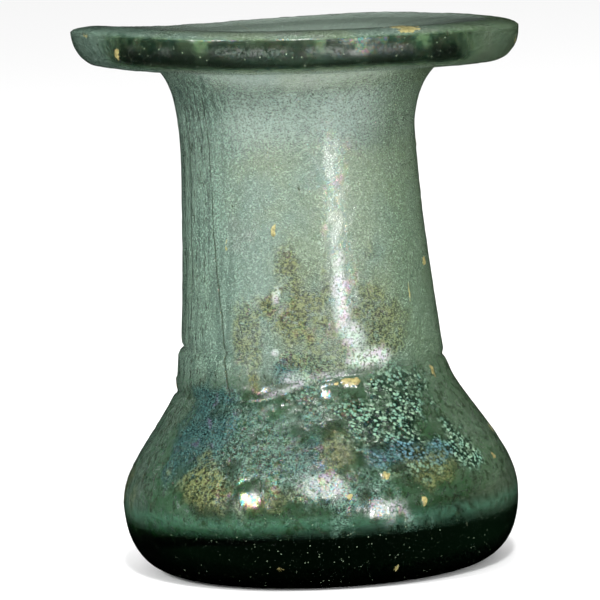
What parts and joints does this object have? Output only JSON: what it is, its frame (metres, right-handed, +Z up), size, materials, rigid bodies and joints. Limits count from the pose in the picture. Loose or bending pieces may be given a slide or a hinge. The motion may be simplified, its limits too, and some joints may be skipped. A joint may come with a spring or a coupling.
{
  "type": "roman glass bottle",
  "caption": "Small free-blown glass bottle with a squat bell-shaped body, a thick base, a tubular neck and a wide flat rim; open and empty.",
  "frame": {"origin": "centre of the underside, on the surface that the bottle stands on", "axes": "+Z up along the neck, -Y towards the side that was pictured, +X to its right"},
  "size_m": [0.0468, 0.0468, 0.0576],
  "materials": {
    "weathered_glass": "blue-green natural glass with a thin weathering skin, iridescence, pits and soil"
  },
  "bodies": {
    "root": {"glass_bottle": "weathered_glass"}
  },
  "joints": []
}
